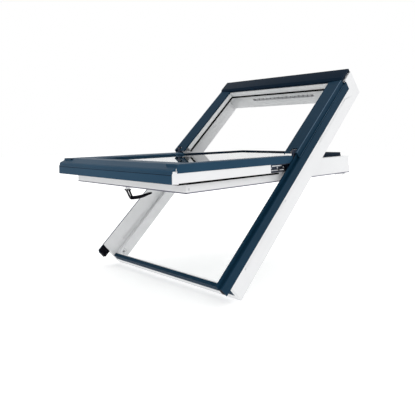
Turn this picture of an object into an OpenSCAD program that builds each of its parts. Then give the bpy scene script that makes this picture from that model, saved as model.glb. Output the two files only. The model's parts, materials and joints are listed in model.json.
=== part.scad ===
// Centre-pivot roof window with its installation frame, shown pitched as in the roof, sash swung open.
// Every piece is drawn in the plane of the roof: X across the window, Y up the slope, Z outwards.
// The sash is drawn closed, turned open about its pivot, and the whole window is then tipped to the pitch.

/* [Window] */
// Width of the frame over its side covers
frame_w = 780; // [550:10:1340]
// Length of the frame up the slope
frame_l = 1180; // [780:10:1600]
// Pitch of the roof, from level
roof_pitch = 43; // [15:1:80]
// How far the sash is swung open from closed, in degrees
open_angle = 41.8; // [0:0.1:160]
// How far the sash swings for its outside to be cleaned, in degrees
clean_angle = 160; // [150:1:165]

/* [Frame profiles] */
// Depth of the frame below the top of its side covers
frame_d = 118; // [100:1:150]
// Width of a jamb, cover included
jamb_w = 19; // [17:0.5:30]
// Height of the upstand along the inner edge of a jamb
lip_h = 16; // [8:1:24]
// Thickness of that upstand
lip_t = 3.2; // [2.4:0.1:5]
// Width of the sill profile up the slope
sill_w = 20; // [18:0.5:28]
// Width of the head profile up the slope
head_w = 78; // [60:1:100]
// Depth of the sealing shelf below the side covers
shelf_depth = 66; // [60:1:72]
// How far the lower stop profiles stand in from a jamb
lower_stop_w = 19; // [16:0.5:21]
// How far the upper stop profiles stand in from a jamb
upper_stop_w = 54; // [50:0.5:60]
// Wall of a reinforcing tube
steel_t = 1.5; // [1:0.25:2]

/* [Covers] */
// Thickness of the folded covers
cover_t = 1.2; // [0.8:0.1:2]
// Depth of the outer flange of a side cover
flange_h = 38; // [20:1:60]
// Radius of the bead along a side cover
bead_r = 2.4; // [1:0.1:3]
// How far the side covers run past the sill
cover_overhang = 34.5; // [10:0.5:50]
// How far the side covers stop short of the top of the frame
cover_top_gap = 69; // [40:1:90]
// Height of the wide upper covers above the side covers
upper_cover_h = 29; // [28:0.5:40]

/* [Sash profiles] */
// Gap between the sash and the lower stops, each side
sash_gap = 4; // [3:0.5:6]
// Width of a sash profile
sash_profile_w = 56; // [50:1:70]
// Height of a sash profile
sash_profile_h = 77; // [70:1:82]
// Depth of the top of the sash profiles below the side covers, when closed
sash_top_depth = 18; // [17:0.5:20]
// Gap between the lower end of the sash and the sill
sash_sill_gap = 7.5; // [7:0.5:12]
// Gap between the upper end of the sash and the head
sash_head_gap = 10; // [8:0.5:20]
// How far the bottom rail's apron runs out over the sill
apron_reach = 77.5; // [50:0.5:90]

/* [Glazing] */
// Thickness of each pane
pane_t = 4; // [3:0.5:6]
// Gap between the panes
pane_gap = 16; // [12:1:18]
// How far the glass stands above the sash profiles
glass_rise = 12; // [8:0.5:14]
// How far the glass reaches over the sash profiles
glass_bite = 13; // [10:0.5:16]

/* [Pivot] */
// Place of the pivot above the middle of the frame, up the slope
pivot_up = 36; // [0:1:60]
// Height of the pivot above the side covers
pivot_out = 20.5; // [20:0.5:24]
// Radius of the pivot pin
pin_r = 5; // [4:0.25:6]
// Running clearance of the pivot pin, in radius
pin_clear = 0.06; // [0.02:0.01:0.1]

/* [Handle] */
// Length of the handle's grip
grip_l = 95; // [70:1:130]
// Depth that the handle's elbow stands into the room
handle_drop = 55; // [42:1:75]

/* [Hidden] */
$fn = 48;

white = "#f3f4f4";
blue = "#33495c";
navy = "#22333f";
black = "#16171a";
steel = "#8d9196";
zinc = "#b9bcc0";
glass = [0.75, 0.86, 0.88, 0.35];
lilac = "#9698a4";

// Frame, in the roof plane
half_w = frame_w / 2;
jamb_out = half_w - cover_t;
jamb_in = half_w - jamb_w;
shelf_z = -shelf_depth;
head_in = frame_l - head_w;
head_stop_w = 18;
head_stop = head_in - head_stop_w;
stop_in = jamb_in - upper_stop_w;
stop_under = -10;
stop_top = lip_h + 1;
lower_stop_in = jamb_in - lower_stop_w;
wide_out = half_w - 7;
cover_inner_drop = 4.5;
head_cover_h = 36;
head_lip = head_stop + 8;
chamber_w = 10.6;
chamber_h = 46;
chamber_z = -frame_d + 10;
steel_play = 0.3;
fixing_r = 2.75;
fixing_z = -50;
fixing_y = [90, 420, frame_l - 420, frame_l - 130];
plug_t = 6;

// Pivot, in the roof plane
pivot_y = frame_l / 2 + pivot_up;
pivot_z = pivot_out;
lower_stop_end = pivot_y - 14;
upper_stop_start = pivot_y + 19;
upper_cover_start = pivot_y - 16;

// Sash, closed, in the roof plane
sash_out = lower_stop_in - sash_gap;
sash_in = sash_out - sash_profile_w;
sash_low = sill_w + sash_sill_gap;
sash_high = head_in - sash_head_gap;
sash_top = -sash_top_depth;
sash_under = sash_top - sash_profile_h;
list_out = jamb_in - 3;
list_under = shelf_z + 5;
list_end = pivot_y - 120;
case_low = pivot_y - 169;
case_high = pivot_y - 52;
case_under = sash_top - 38.5;
case_top = sash_top - 6;
apron_low = sash_low - apron_reach;
apron_list_low = apron_low + 24;
pane_out_x = sash_in + glass_bite;
pane_low = sash_low + sash_profile_w - glass_bite;
pane_high = sash_high - sash_profile_w + glass_bite;
glass_t = 2 * pane_t + pane_gap;
glass_top = sash_top + glass_rise;
glass_under = glass_top - glass_t;
rebate_play = 2;
bed_t = 1;
flange_lip = 6;
sash_cover_top = 5;
sash_cover_end = pivot_y - 26;
cover_bite = 9;
seam_x = pane_out_x + 8;
seam_y = sash_low + 30;
lid_side = stop_in - 4;
lid_high = head_stop - 10;
lid_z = sash_top + 18;

// Hinge
plate_t = 4;
eye_r = pin_r + 3.5;
arm_t = 5;
arm_x = sash_out;
case_x = list_out - 3.5;
eye_x = jamb_in - plate_t - 0.8;

// Lock
rod_w = 7.6;
rod_play = 0.3;
rod_y = sash_low + 14;
rod_z = sash_under + 12;
rod_reach = 12;
spindle_r = 4;
pinion_r = 6;
rack_w = 4;
rack_off = pinion_r + rack_w / 2 + 0.1;
rack_l = 62;
rod_travel = pinion_r * PI / 2;
bolt_y = sash_high - 36;
bolt_z = sash_under - 5.25;
bolt_w = 8;
bolt_t = 4.9;
bolt_travel = jamb_in + 2.5 - (sash_out - 4);
clean_y = pivot_y + (bolt_y - pivot_y) * cos(clean_angle) + (bolt_z - pivot_z) * sin(clean_angle);
clean_z = pivot_z - (bolt_y - pivot_y) * sin(clean_angle) + (bolt_z - pivot_z) * cos(clean_angle);
vent_x = 195;
vent_z = -54;
vent_h = 16;
vent_d = 30;

// Where the origin lies: the middle of the sill's bare outer face
origin_z = -(frame_d + shelf_depth + 25) / 2;

// ---- Placing ----

// From the plane of the roof to the window's own frame
module pitched() rotate([roof_pitch, 0, 0]) translate([0, 0, -origin_z]) children();

// From the closed sash to the open one, in the window's own frame
module swung() pitched() translate([0, pivot_y, pivot_z]) rotate([-open_angle, 0, 0])
  translate([0, -pivot_y, -pivot_z]) children();

// An outline in X and Z, run up the slope from y0 to y1
module run_up(y0, y1) translate([0, y1, 0]) rotate([90, 0, 0]) linear_extrude(y1 - y0) children();

// An outline in Y and Z, run across the window from x0 to x1
module run_across(x0, x1) translate([x0, 0, 0]) rotate([90, 0, 90]) linear_extrude(x1 - x0) children();

// A box from its low corner to its high corner
module block(low, high) translate(low) cube(high - low);

// A round bar or bore along X
module rod_x(x0, x1, y, z, r) translate([x0, y, z]) rotate([0, 90, 0]) cylinder(r = r, h = x1 - x0);

// The left-hand twin of a right-hand piece
module left() mirror([1, 0, 0]) children();

module both() {
  children();
  left() children();
}

// ---- Frame profiles ----

module jamb_outline() polygon([[jamb_in, -frame_d], [jamb_out - 4, -frame_d], [jamb_out, -frame_d + 4],
  [jamb_out, -cover_t], [jamb_in + lip_t, -cover_t], [jamb_in + lip_t, lip_h], [jamb_in, lip_h]]);

module jamb() difference() {
  union() {
    run_up(0, frame_l) jamb_outline();
    block([wide_out, frame_l - cover_top_gap + 1, -cover_t], [jamb_out, frame_l, 12]);
  }
  block([jamb_in + 3.6, -1, chamber_z], [jamb_in + 3.6 + chamber_w, frame_l + 1, chamber_z + chamber_h]);
  for (y = fixing_y) rod_x(jamb_in - 1, jamb_out + 1, y, fixing_z, fixing_r);
}

module jamb_left() color(white) pitched() left() jamb();
module jamb_right() color(white) pitched() difference() {
  jamb();
  translate([jamb_in, clean_y, clean_z]) rotate([-clean_angle, 0, 0])
    cube([6, bolt_w + 1, bolt_t + 1], center = true);
  translate([jamb_in, bolt_y, bolt_z]) cube([6, bolt_w + 1, bolt_t + 1], center = true);
}

module jamb_steels() color(zinc) pitched() both() difference() {
  block([jamb_in + 3.6 + steel_play, plug_t, chamber_z + steel_play],
    [jamb_in + 3.6 + chamber_w - steel_play, frame_l - plug_t, chamber_z + chamber_h - steel_play]);
  block([jamb_in + 3.6 + steel_play + steel_t, 0, chamber_z + steel_play + steel_t],
    [jamb_in + 3.6 + chamber_w - steel_play - steel_t, frame_l, chamber_z + chamber_h - steel_play - steel_t]);
}

module jamb_end_plugs() color(white) pitched() both() for (y = [0, frame_l - plug_t])
  block([jamb_in + 3.6, y, chamber_z], [jamb_in + 3.6 + chamber_w, y + plug_t, chamber_z + chamber_h]);

module sill_profile() color(white) pitched() run_across(-jamb_in, jamb_in) polygon([[0, -frame_d],
  [0, shelf_z - 25], [cover_t, shelf_z - 25], [cover_t, shelf_z], [sill_w, shelf_z],
  [sill_w, -frame_d + 3], [sill_w - 3, -frame_d]]);

module head_outline() polygon([[head_stop, stop_under], [head_stop, stop_top], [frame_l, stop_top],
  [frame_l, -frame_d + 14], [frame_l - 20, -frame_d], [head_in + 20, -frame_d], [head_in, -frame_d + 14],
  [head_in, stop_under]]);

module head_profile() color(white) pitched() difference() {
  run_across(-jamb_in, jamb_in) head_outline();
  block([-vent_x, head_in - 1, vent_z - vent_h / 2], [vent_x, head_in + vent_d, vent_z + vent_h / 2]);
}

module lower_stop() difference() {
  run_up(sill_w, lower_stop_end) polygon([[lower_stop_in, -frame_d + 3], [lower_stop_in + 3, -frame_d],
    [jamb_in, -frame_d], [jamb_in, shelf_z], [lower_stop_in, shelf_z]]);
  block([lower_stop_in - 1, rod_y - 14, rod_z - 10], [lower_stop_in + 2, rod_y + 14, rod_z + 10]);
  block([lower_stop_in, rod_y - 5, rod_z - 5], [lower_stop_in + rod_reach + 2, rod_y + 5, rod_z + 5]);
}

module lower_stop_left() color(white) pitched() left() lower_stop();
module lower_stop_right() color(white) pitched() lower_stop();

module upper_stop() run_up(upper_stop_start, head_stop) polygon([[stop_in, stop_under],
  [jamb_in, stop_under], [jamb_in, stop_top], [stop_in, stop_top]]);

module upper_stop_left() color(white) pitched() left() upper_stop();
module upper_stop_right() color(white) pitched() upper_stop();

// The seal that the upper half of the sash closes against, down both sides and across the head
module upper_seal() color(black) pitched() {
  both() run_up(upper_stop_start + 2, head_stop) seal_outline(stop_in, 1);
  run_across(-stop_in, stop_in) seal_outline(head_stop, 1);
}

// A seal along the inner lower edge of a stop that begins at a
module seal_outline(a, way) polygon([[a - 2 * way, stop_under + 4], [a, stop_under + 4], [a, stop_under],
  [a + 9 * way, stop_under], [a + 9 * way, stop_under - 2.5], [a + 4 * way, sash_top + 0.4],
  [a - 2 * way, sash_top + 0.4]]);

// ---- Frame covers ----

module side_cover_outline() {
  polygon([[half_w, -flange_h], [half_w, 0], [jamb_in + lip_t + cover_t, 0],
    [jamb_in + lip_t + cover_t, lip_h + cover_t], [jamb_in, lip_h + cover_t], [jamb_in, lip_h],
    [jamb_in + lip_t, lip_h], [jamb_in + lip_t, -cover_t], [jamb_out, -cover_t], [jamb_out, -flange_h]]);
  intersection() {
    translate([half_w - bead_r, 0]) circle(bead_r);
    translate([half_w - 2 * bead_r, 0]) square(2 * bead_r);
  }
}

module side_cover() run_up(-cover_overhang, frame_l - cover_top_gap) side_cover_outline();

module side_cover_left() color(blue) pitched() left() side_cover();
module side_cover_right() color(blue) pitched() side_cover();

module side_cover_end_caps() color(black) pitched() both() run_up(1 - cover_overhang, -cover_t)
  polygon([[jamb_in, -flange_h + 4], [jamb_out, -flange_h + 4], [jamb_out, -cover_t],
    [jamb_in + lip_t, -cover_t], [jamb_in + lip_t, lip_h], [jamb_in, lip_h]]);

module upper_cover() difference() {
  run_up(upper_cover_start, head_lip) polygon([[wide_out, 0], [wide_out, upper_cover_h],
    [stop_in - cover_t, upper_cover_h - cover_inner_drop], [stop_in - cover_t, stop_top],
    [stop_in, stop_top], [stop_in, upper_cover_h - cover_inner_drop - cover_t],
    [wide_out - cover_t, upper_cover_h - cover_t], [wide_out - cover_t, 0]]);
  block([sash_out - 2, upper_cover_start - 1, 12], [jamb_in + 1, pivot_y + eye_r + 3, upper_cover_h + 1]);
}

module upper_cover_left() color(blue) pitched() left() upper_cover();
module upper_cover_right() color(blue) pitched() upper_cover();

// The outer line of the head cover, from its lower edge over the top to the back of the frame
head_line = [[head_lip, lip_h + cover_t + 0.2], [head_lip, upper_cover_h], [head_lip + 12, head_cover_h],
  [frame_l - 12, head_cover_h], [frame_l + cover_t, upper_cover_h - 2], [frame_l + cover_t, -20]];

module head_cover() color(navy) pitched() run_across(-wide_out, wide_out) folded(head_line, -cover_t);

module head_cover_end_caps() color(navy) pitched() both() difference() {
  run_across(wide_out - 4, wide_out - 0.1) offset_in(head_line, cover_t + 0.05);
  block([0, 0, -frame_d], [wide_out + 1, frame_l + 1, lip_h + cover_t + 0.3]);
}

// A folded strip of even thickness along a line of corners, on its right-hand side for positive t
module folded(line, t) polygon(concat(line, [for (i = [len(line) - 1:-1:0]) mitre(line, i, t)]));

// The area under a line of corners, in by t
module offset_in(line, t) polygon([for (i = [0:len(line) - 1]) mitre(line, i, -t)]);

function unit(v) = v / norm(v);
function side_of(a, b) = let (d = unit(b - a)) [-d[1], d[0]];
function mitre(line, i, t) = let (
    n0 = side_of(line[max(i - 1, 0)], line[max(i - 1, 0) + 1]),
    n1 = side_of(line[min(i, len(line) - 2)], line[min(i, len(line) - 2) + 1]),
    m = unit(n0 + n1))
  line[i] + m * t / (m * n1);

sill_line = [[0, shelf_z - 25], [0, shelf_z + cover_t], [sill_w - 5, shelf_z + cover_t]];

module sill_cover() color(blue) pitched() run_across(-jamb_in + 0.3, jamb_in - 0.3)
  folded(sill_line, -cover_t);

// ---- Air inlet in the head ----

module vent_housing() color(white) pitched() difference() {
  block([-vent_x, head_in, vent_z - vent_h / 2], [vent_x, head_in + vent_d, vent_z + vent_h / 2]);
  block([3 - vent_x, head_in - 1, vent_z - vent_h / 2 + 2.5], [vent_x - 3, head_in + vent_d - 3, vent_z + vent_h / 2 - 2.5]);
}

vent_pitch = 26;
vent_slots = floor((vent_x - 12) / vent_pitch);

// A pierced strip, its slots in two rows of a comb
module pierced(y0, y1, x_end, shift) difference() {
  block([-x_end, y0, vent_z - vent_h / 2 + 2.8], [x_end, y1, vent_z + vent_h / 2 - 2.8]);
  for (i = [-vent_slots:vent_slots])
    block([i * vent_pitch - 5 + shift, y0 - 1, vent_z - 3], [i * vent_pitch + 5 + shift, y1 + 1, vent_z + 3]);
}

module vent_grille() color(zinc) pitched() pierced(head_in + 6, head_in + 8, vent_x - 3, 0);

module vent_shutter() color(white) pitched() {
  pierced(head_in + 3.4, head_in + 5.7, vent_x - 18, 0);
  block([-16, head_in - 3, vent_z - 1.5], [-10, head_in + 3.5, vent_z + 1.5]);
}

// ---- Hinges ----

hinge_low = pivot_y - 74;
hinge_high = pivot_y + 16;
hinge_base_top = sash_top - 10;
hinge_screw_y = [pivot_y - 60, pivot_y - 30, pivot_y];
hinge_screw_z = hinge_base_top - 13;

// Plate on the jamb, low enough for the sash's side cover to close over it, with the pin at its top
module frame_hinge() {
  difference() {
    union() {
      block([jamb_in - plate_t, hinge_low, hinge_base_top - 26], [jamb_in, hinge_high, hinge_base_top]);
      block([jamb_in - plate_t, pivot_y - eye_r, hinge_base_top - 1], [jamb_in, pivot_y + eye_r, pivot_z]);
      rod_x(jamb_in - plate_t, jamb_in, pivot_y, pivot_z, eye_r);
    }
    for (y = hinge_screw_y) {
      rod_x(jamb_in - plate_t - 1, jamb_in + 1, y, hinge_screw_z, 2.3);
      rod_x(jamb_in - plate_t - 1, jamb_in - plate_t + 1.8, y, hinge_screw_z, 4.1);
    }
  }
  rod_x(arm_x + 2, jamb_in - plate_t + 1, pivot_y, pivot_z, pin_r);
}

module frame_hinge_left() color(steel) pitched() left() frame_hinge();
module frame_hinge_right() color(steel) pitched() frame_hinge();

module frame_hinge_screws() color(zinc) pitched() both() for (y = hinge_screw_y) {
  rod_x(jamb_in - plate_t + 1, jamb_in, y, hinge_screw_z, 2.3);
  rod_x(jamb_in - plate_t + 0.1, jamb_in - plate_t + 1.8, y, hinge_screw_z, 4.1);
}

sash_screw_y = [pivot_y - 150, pivot_y - 110, pivot_y - 70];
sash_screw_z = sash_top - 22;

module sash_hinge() difference() {
  union() {
    block([arm_x, case_low, sash_top - 26], [arm_x + arm_t, pivot_y + 4, sash_top - 4]);
    difference() {
      block([arm_x, case_low, case_under], [case_x, case_high, case_top]);
      block([arm_x + arm_t, case_low + 5, case_under + 5], [case_x + 1, case_high - 5, case_top - 5]);
    }
    run_across(arm_x + arm_t - 0.5, eye_x) {
      polygon([[pivot_y - 30, sash_top - 22], [pivot_y + 2, sash_top - 22], [pivot_y + eye_r, pivot_z],
        [pivot_y - eye_r, pivot_z], [pivot_y - 16, sash_top + 4], [pivot_y - 44, sash_top - 10]]);
      translate([pivot_y, pivot_z]) circle(eye_r);
    }
  }
  rod_x(arm_x - 1, eye_x + 1, pivot_y, pivot_z, pin_r + pin_clear);
  for (y = sash_screw_y) rod_x(arm_x - 1, arm_x + arm_t + 1, y, sash_screw_z, 2.3);
}

module sash_hinge_left() color(steel) swung() left() sash_hinge();
module sash_hinge_right() color(steel) swung() sash_hinge();

module sash_hinge_screws() color(zinc) swung() both() for (y = sash_screw_y) {
  rod_x(arm_x, arm_x + arm_t, y, sash_screw_z, 2.3);
  rod_x(arm_x + arm_t, arm_x + arm_t + 2, y, sash_screw_z, 4);
}

module lock_keepers() color(zinc) pitched() both() difference() {
  block([lower_stop_in + 0.3, rod_y - 14, rod_z - 10], [lower_stop_in + 2, rod_y + 14, rod_z + 10]);
  block([lower_stop_in - 1, rod_y - 4.6, rod_z - 4.6], [lower_stop_in + 3, rod_y + 4.6, rod_z + 4.6]);
}

// ---- Sash profiles ----

// The profile's outline: a is the way in from its outer edge, z outwards, with a rebate for the glass
function sash_points() = let (rebate = sash_profile_w - glass_bite - rebate_play) [[0, sash_under], [0, sash_top],
  [rebate, sash_top], [rebate, glass_under - bed_t], [sash_profile_w, glass_under - bed_t],
  [sash_profile_w, glass_under - bed_t - 9], [sash_profile_w - 12, sash_under + 16],
  [sash_profile_w - 12, sash_under + 3], [sash_profile_w - 15, sash_under]];

module stile_outline() polygon([for (p = sash_points()) [sash_out - p[0], p[1]]]);
module bottom_outline() polygon([for (p = sash_points()) [sash_low + p[0], p[1]]]);
module top_outline() polygon([for (p = sash_points()) [sash_high - p[0], p[1]]]);

// All that belongs to a rail: what lies beyond the 45 degree mitres at its ends
module rail_zone(edge_y, way) linear_extrude(400, center = true) polygon([
  [-sash_out - 1, edge_y - way], [sash_out + 1, edge_y - way],
  [sash_out - 150, edge_y + way * 150], [150 - sash_out, edge_y + way * 150]]);

module rod_channel(x0, x1) block([x0, rod_y - rod_w / 2 - rod_play, rod_z - rod_w / 2 - rod_play],
  [x1, rod_y + rod_w / 2 + rod_play, rod_z + rod_w / 2 + rod_play]);

module stile() difference() {
  run_up(sash_low, sash_high) stile_outline();
  rail_zone(sash_low, 1);
  rail_zone(sash_high, -1);
  rod_channel(sash_out - 60, sash_out + 1);
}

module rail(edge_y, way) intersection() {
  run_across(-sash_out, sash_out) children();
  rail_zone(edge_y, way);
}

module sash_stile_left() color(white) swung() left() stile();
module sash_stile_right() color(white) swung() stile();

rack_pocket_x = rack_l / 2 + 5 + rod_travel + 2;
rack_pocket_y = rack_off + rack_w / 2 + 0.5;

module sash_bottom_rail() color(white) swung() difference() {
  rail(sash_low, 1) bottom_outline();
  rod_channel(-sash_out, sash_out);
  block([-rack_pocket_x, rod_y - rack_pocket_y, rod_z - rod_w / 2 - rod_play],
    [rack_pocket_x, rod_y + rack_pocket_y, rod_z + rod_w / 2 + rod_play]);
  translate([0, rod_y, sash_under - 1]) cylinder(r = spindle_r + 0.3, h = 12);
}

module sash_top_rail() color(white) swung() union() {
  rail(sash_high, -1) top_outline();
  run_across(-sash_out + 1, sash_out - 1) polygon([[sash_high, sash_under + 3], [sash_high, sash_under + 32],
    [sash_high + flange_lip, sash_under + 29], [sash_high + flange_lip, sash_under + 3]]);
}

// The wide upper part of the lower half, which closes over the sealing shelf
module sash_list() difference() {
  run_up(sash_low, list_end) polygon([[sash_out, list_under], [list_out, list_under],
    [list_out, sash_top], [sash_out, sash_top]]);
  block([sash_out - 1, case_low - 1, case_under - 1], [list_out + 1, list_end + 1, sash_top + 1]);
}

module sash_list_left() color(white) swung() left() sash_list();
module sash_list_right() color(white) swung() sash_list();

module sash_apron_list() color(white) swung() run_across(-list_out, list_out) polygon([
  [apron_list_low, list_under], [sash_low, list_under], [sash_low, sash_top], [apron_list_low, sash_top]]);

seal_h = -shelf_z + list_under - 0.5;
low_seal_h = seal_h - cover_t + 0.1;

// The black seal under the wide part: up both sides, and thinner across the covered sill
module sash_seal() color(black) swung() {
  both() {
    block([sash_out + 6, sill_w, list_under - seal_h], [list_out - 1.5, list_end, list_under]);
    block([sash_out + 6, apron_list_low + 6, list_under - low_seal_h], [list_out - 1.5, sill_w, list_under]);
  }
  block([-sash_out - 6, apron_list_low + 6, list_under - low_seal_h], [sash_out + 6, sash_low - 8, list_under]);
}

// The grey seal round the room side of the sash
module flange_seal() color(lilac) swung() difference() {
  block([-sash_out + 0.5, sash_low + 0.5, sash_under - 2.2], [sash_out - 0.5, sash_high + 3, sash_under]);
  block([5 - sash_out, sash_low + 5, sash_under - 3], [sash_out - 5, sash_high - 4, sash_under + 1]);
}

// ---- Glazing ----

module pane(z) block([-pane_out_x, pane_low, z], [pane_out_x, pane_high, z + pane_t]);

module outer_pane() color(glass) swung() pane(glass_top - pane_t);
module inner_pane() color(glass) swung() pane(glass_under);

module pane_spacer() color("#3a3d40") swung() difference() {
  block([-pane_out_x + 3, pane_low + 3, glass_under + pane_t], [pane_out_x - 3, pane_high - 3, glass_top - pane_t]);
  block([13 - pane_out_x, pane_low + 13, glass_under], [pane_out_x - 13, pane_high - 13, glass_top]);
}

// Pads that carry the glass on the bed of the profiles, and pads that centre it
module setting_blocks() color(black) swung() {
  for (x = [-0.6, 0.6]) block([x * pane_out_x - 40, pane_low - rebate_play, glass_under],
    [x * pane_out_x + 40, pane_low, sash_top]);
  both() for (y = [pane_low + 120, pane_high - 120]) block([pane_out_x, y - 40, glass_under],
    [pane_out_x + rebate_play, y + 40, sash_top]);
  difference() {
    block([-pane_out_x, pane_low, glass_under - bed_t], [pane_out_x, pane_high, glass_under]);
    block([glass_bite - 2 - pane_out_x, pane_low + glass_bite - 2, glass_under - 2],
      [pane_out_x - glass_bite + 2, pane_high - glass_bite + 2, glass_under + 1]);
  }
}

// ---- Sash covers ----

cover_x = list_out + cover_t;
glass_edge_x = pane_out_x - cover_bite;
glass_edge_y = pane_low + cover_bite;
cover_seal = 0.4;

// Stepped line of the bottom rail's cover, from its drip edge over the top and down to the glass
apron_line = [[apron_low, list_under + 2], [apron_low, sash_top - 8], [apron_low + 3, sash_top - 5],
  [apron_low + 3, sash_top + 3], [apron_low + 8, sash_top + 7], [apron_low + 40, sash_cover_top - 1.5],
  [seam_y, sash_cover_top - 1.5], [glass_edge_y, sash_cover_top - 4], [glass_edge_y, glass_top + cover_seal]];

// Line of a side cover, from its drip edge over the top and down to the glass
sash_cover_line = [[cover_x, sash_top - 7], [cover_x, sash_cover_top - 3], [cover_x - 3, sash_cover_top - 0.5],
  [cover_x - 24, sash_cover_top], [seam_x, sash_cover_top - 1.5], [glass_edge_x, sash_cover_top - 4],
  [glass_edge_x, glass_top + cover_seal]];

side_cover_low = apron_list_low + 0.4;

// Where the side cover lies and the bottom cover doesn't, seen square to the glass
module side_zone(play) linear_extrude(200, center = true) polygon([[cover_x + 1, side_cover_low + play],
  [seam_x + play, side_cover_low + play], [seam_x + play, seam_y], [glass_edge_x + play, glass_edge_y],
  [glass_edge_x - 30, glass_edge_y + 30], [glass_edge_x - 30, frame_l], [cover_x + 1, frame_l]]);

module bottom_rail_cover() color(blue) swung() {
  difference() {
    run_across(-cover_x, cover_x) folded(apron_line, -cover_t);
    both() side_zone(0);
  }
  both() run_across(list_out, cover_x) polygon([[apron_low + 0.5, sash_top + 0.2], [apron_low + 3, sash_top + 0.2],
    [apron_low + 3, sash_top + 3], [apron_low + 8, sash_top + 7], [side_cover_low, apron_end_z(side_cover_low)],
    [side_cover_low, sash_top + 0.2]]);
}

// Height of the sloping face of the bottom cover at y
function apron_end_z(y) = let (a = apron_line[4], b = apron_line[5]) a[1] + (y - a[0]) * (b[1] - a[1]) / (b[0] - a[0]);

module bottom_cover_end_caps() color(white) swung() both()
  run_across(list_out - 2.5, list_out) polygon([[apron_low + cover_t + 0.1, list_under + 2],
    [apron_low + cover_t + 0.1, sash_top - 8.5], [apron_low + cover_t + 3.2, sash_top - 5.5],
    [apron_low + cover_t + 3.2, sash_top], [apron_list_low, sash_top], [apron_list_low, list_under + 2]]);

module sash_cover() intersection() {
  run_up(side_cover_low, sash_cover_end) folded(sash_cover_line, cover_t);
  side_zone(0.1);
}

module sash_cover_left() color(blue) swung() left() sash_cover();
module sash_cover_right() color(blue) swung() sash_cover();

// Small clips outside the joint of the side and bottom covers
module cover_corner_clips() color(white) swung() both() {
  block([list_out, side_cover_low - 9, sash_top - 2.6], [cover_x + 0.7, side_cover_low - 0.5, sash_top - 0.6]);
  block([cover_x, side_cover_low - 7, sash_top - 0.6], [cover_x + 0.7, side_cover_low - 4, sash_top + 9]);
}

lid_start = sash_cover_end + 0.6;

// Line of an upper cover, from its foot on the profile over the top and down to the glass
function lid_line(out, edge) = [[out, sash_top], [out, lid_z], [edge + 4, lid_z], [edge, lid_z - 1.5],
  [edge, glass_top + cover_seal]];

module lid_zone() linear_extrude(200, center = true) polygon([[-lid_side - 1, lid_high + 1], [lid_side + 1, lid_high + 1],
  [glass_edge_x, pane_high - cover_bite], [glass_edge_x - 50, pane_high - cover_bite - 50],
  [50 - glass_edge_x, pane_high - cover_bite - 50], [-glass_edge_x, pane_high - cover_bite]]);

module glazing_cover() difference() {
  run_up(lid_start, lid_high) folded(lid_line(lid_side, glass_edge_x), cover_t);
  lid_zone();
}

module glazing_cover_left() color(navy) swung() left() glazing_cover();
module glazing_cover_right() color(navy) swung() glazing_cover();

module top_rail_cover() color(navy) swung() {
  intersection() {
    run_across(-lid_side, lid_side) folded(lid_line(lid_high, pane_high - cover_bite), cover_t);
    lid_zone();
  }
  run_across(-lid_side + 1, lid_side - 1) polygon([[lid_high, sash_top], [lid_high, sash_top + 7],
    [lid_high + 5.5, sash_top + 6.5], [lid_high + 5.5, sash_top]]);
}

// ---- Handle and lock ----

base_z = sash_under;
base_r = 7.5;
base_x = 24;

module handle_base() color(black) swung() difference() {
  hull() for (x = [-base_x, base_x]) translate([x, rod_y, base_z - 4]) cylinder(r = base_r, h = 4);
  translate([0, rod_y, base_z - 20]) cylinder(r = spindle_r + 0.05, h = 40);
  for (x = [-base_x, base_x]) translate([x, rod_y, base_z - 10]) cylinder(r = 2.2, h = 20);
}

module handle_screws() color(zinc) swung() for (x = [-base_x, base_x]) translate([x, rod_y, base_z - 5.6]) {
  cylinder(r = 4, h = 1.6);
  cylinder(r = 2.2, h = 5.6);
}

elbow_y = rod_y + 16;
elbow_z = base_z - handle_drop + 7.5;
grip_bend = grip_l * 0.36;

module handle_lever() color(black) swung() {
  translate([0, rod_y, base_z - 10]) cylinder(r = spindle_r, h = rod_z - base_z + 10);
  translate([0, rod_y, rod_z - 3]) cylinder(r = pinion_r, h = 6);
  translate([0, rod_y, base_z - 13]) cylinder(r = 9, h = 8.8);
  translate([0, rod_y, base_z - 17]) cylinder(r = 13, h = 4.5);
  hull() {
    translate([0, rod_y, base_z - 17]) cylinder(r = 10, h = 3, $fn = 32);
    translate([0, elbow_y, elbow_z]) sphere(7.5, $fn = 24);
  }
  hull() {
    translate([0, elbow_y, elbow_z]) sphere(7.5, $fn = 24);
    translate([0, elbow_y + grip_bend, elbow_z - 1]) sphere(7.5, $fn = 24);
  }
  hull() {
    translate([0, elbow_y + grip_bend, elbow_z - 1]) sphere(7.5, $fn = 24);
    translate([0, elbow_y + grip_l, elbow_z + 9]) sphere(5.5, $fn = 24);
  }
}

module lock_rod(way) {
  block([rack_l / 2 - 3, rod_y - rod_w / 2, rod_z - rod_w / 2], [sash_out, rod_y + rod_w / 2, rod_z + rod_w / 2]);
  block([-rack_l / 2, rod_y + way * rack_off - rack_w / 2, rod_z - 3],
    [rack_l / 2 + 5, rod_y + way * rack_off + rack_w / 2, rod_z + 3]);
  block([rack_l / 2, rod_y - (way < 0 ? rack_off : 0), rod_z - 3], [rack_l / 2 + 5, rod_y + (way > 0 ? rack_off : 0), rod_z + 3]);
}

module lock_rod_left() color(zinc) swung() left() lock_rod(1);
module lock_rod_right() color(zinc) swung() lock_rod(-1);

bolt_x = sash_out - 64;

module bolt_housing() color(white) swung() difference() {
  block([bolt_x, bolt_y - 11, sash_under - 11], [sash_out - 7, bolt_y + 11, sash_under]);
  block([bolt_x - 1, bolt_y - bolt_w / 2 - 0.3, bolt_z - bolt_t / 2 - 0.3],
    [sash_out, bolt_y + bolt_w / 2 + 0.3, bolt_z + bolt_t / 2 + 0.3]);
  block([bolt_x + 8, bolt_y - 3, sash_under - 12], [bolt_x + 14.5 + bolt_travel, bolt_y + 3, bolt_z]);
}

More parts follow.
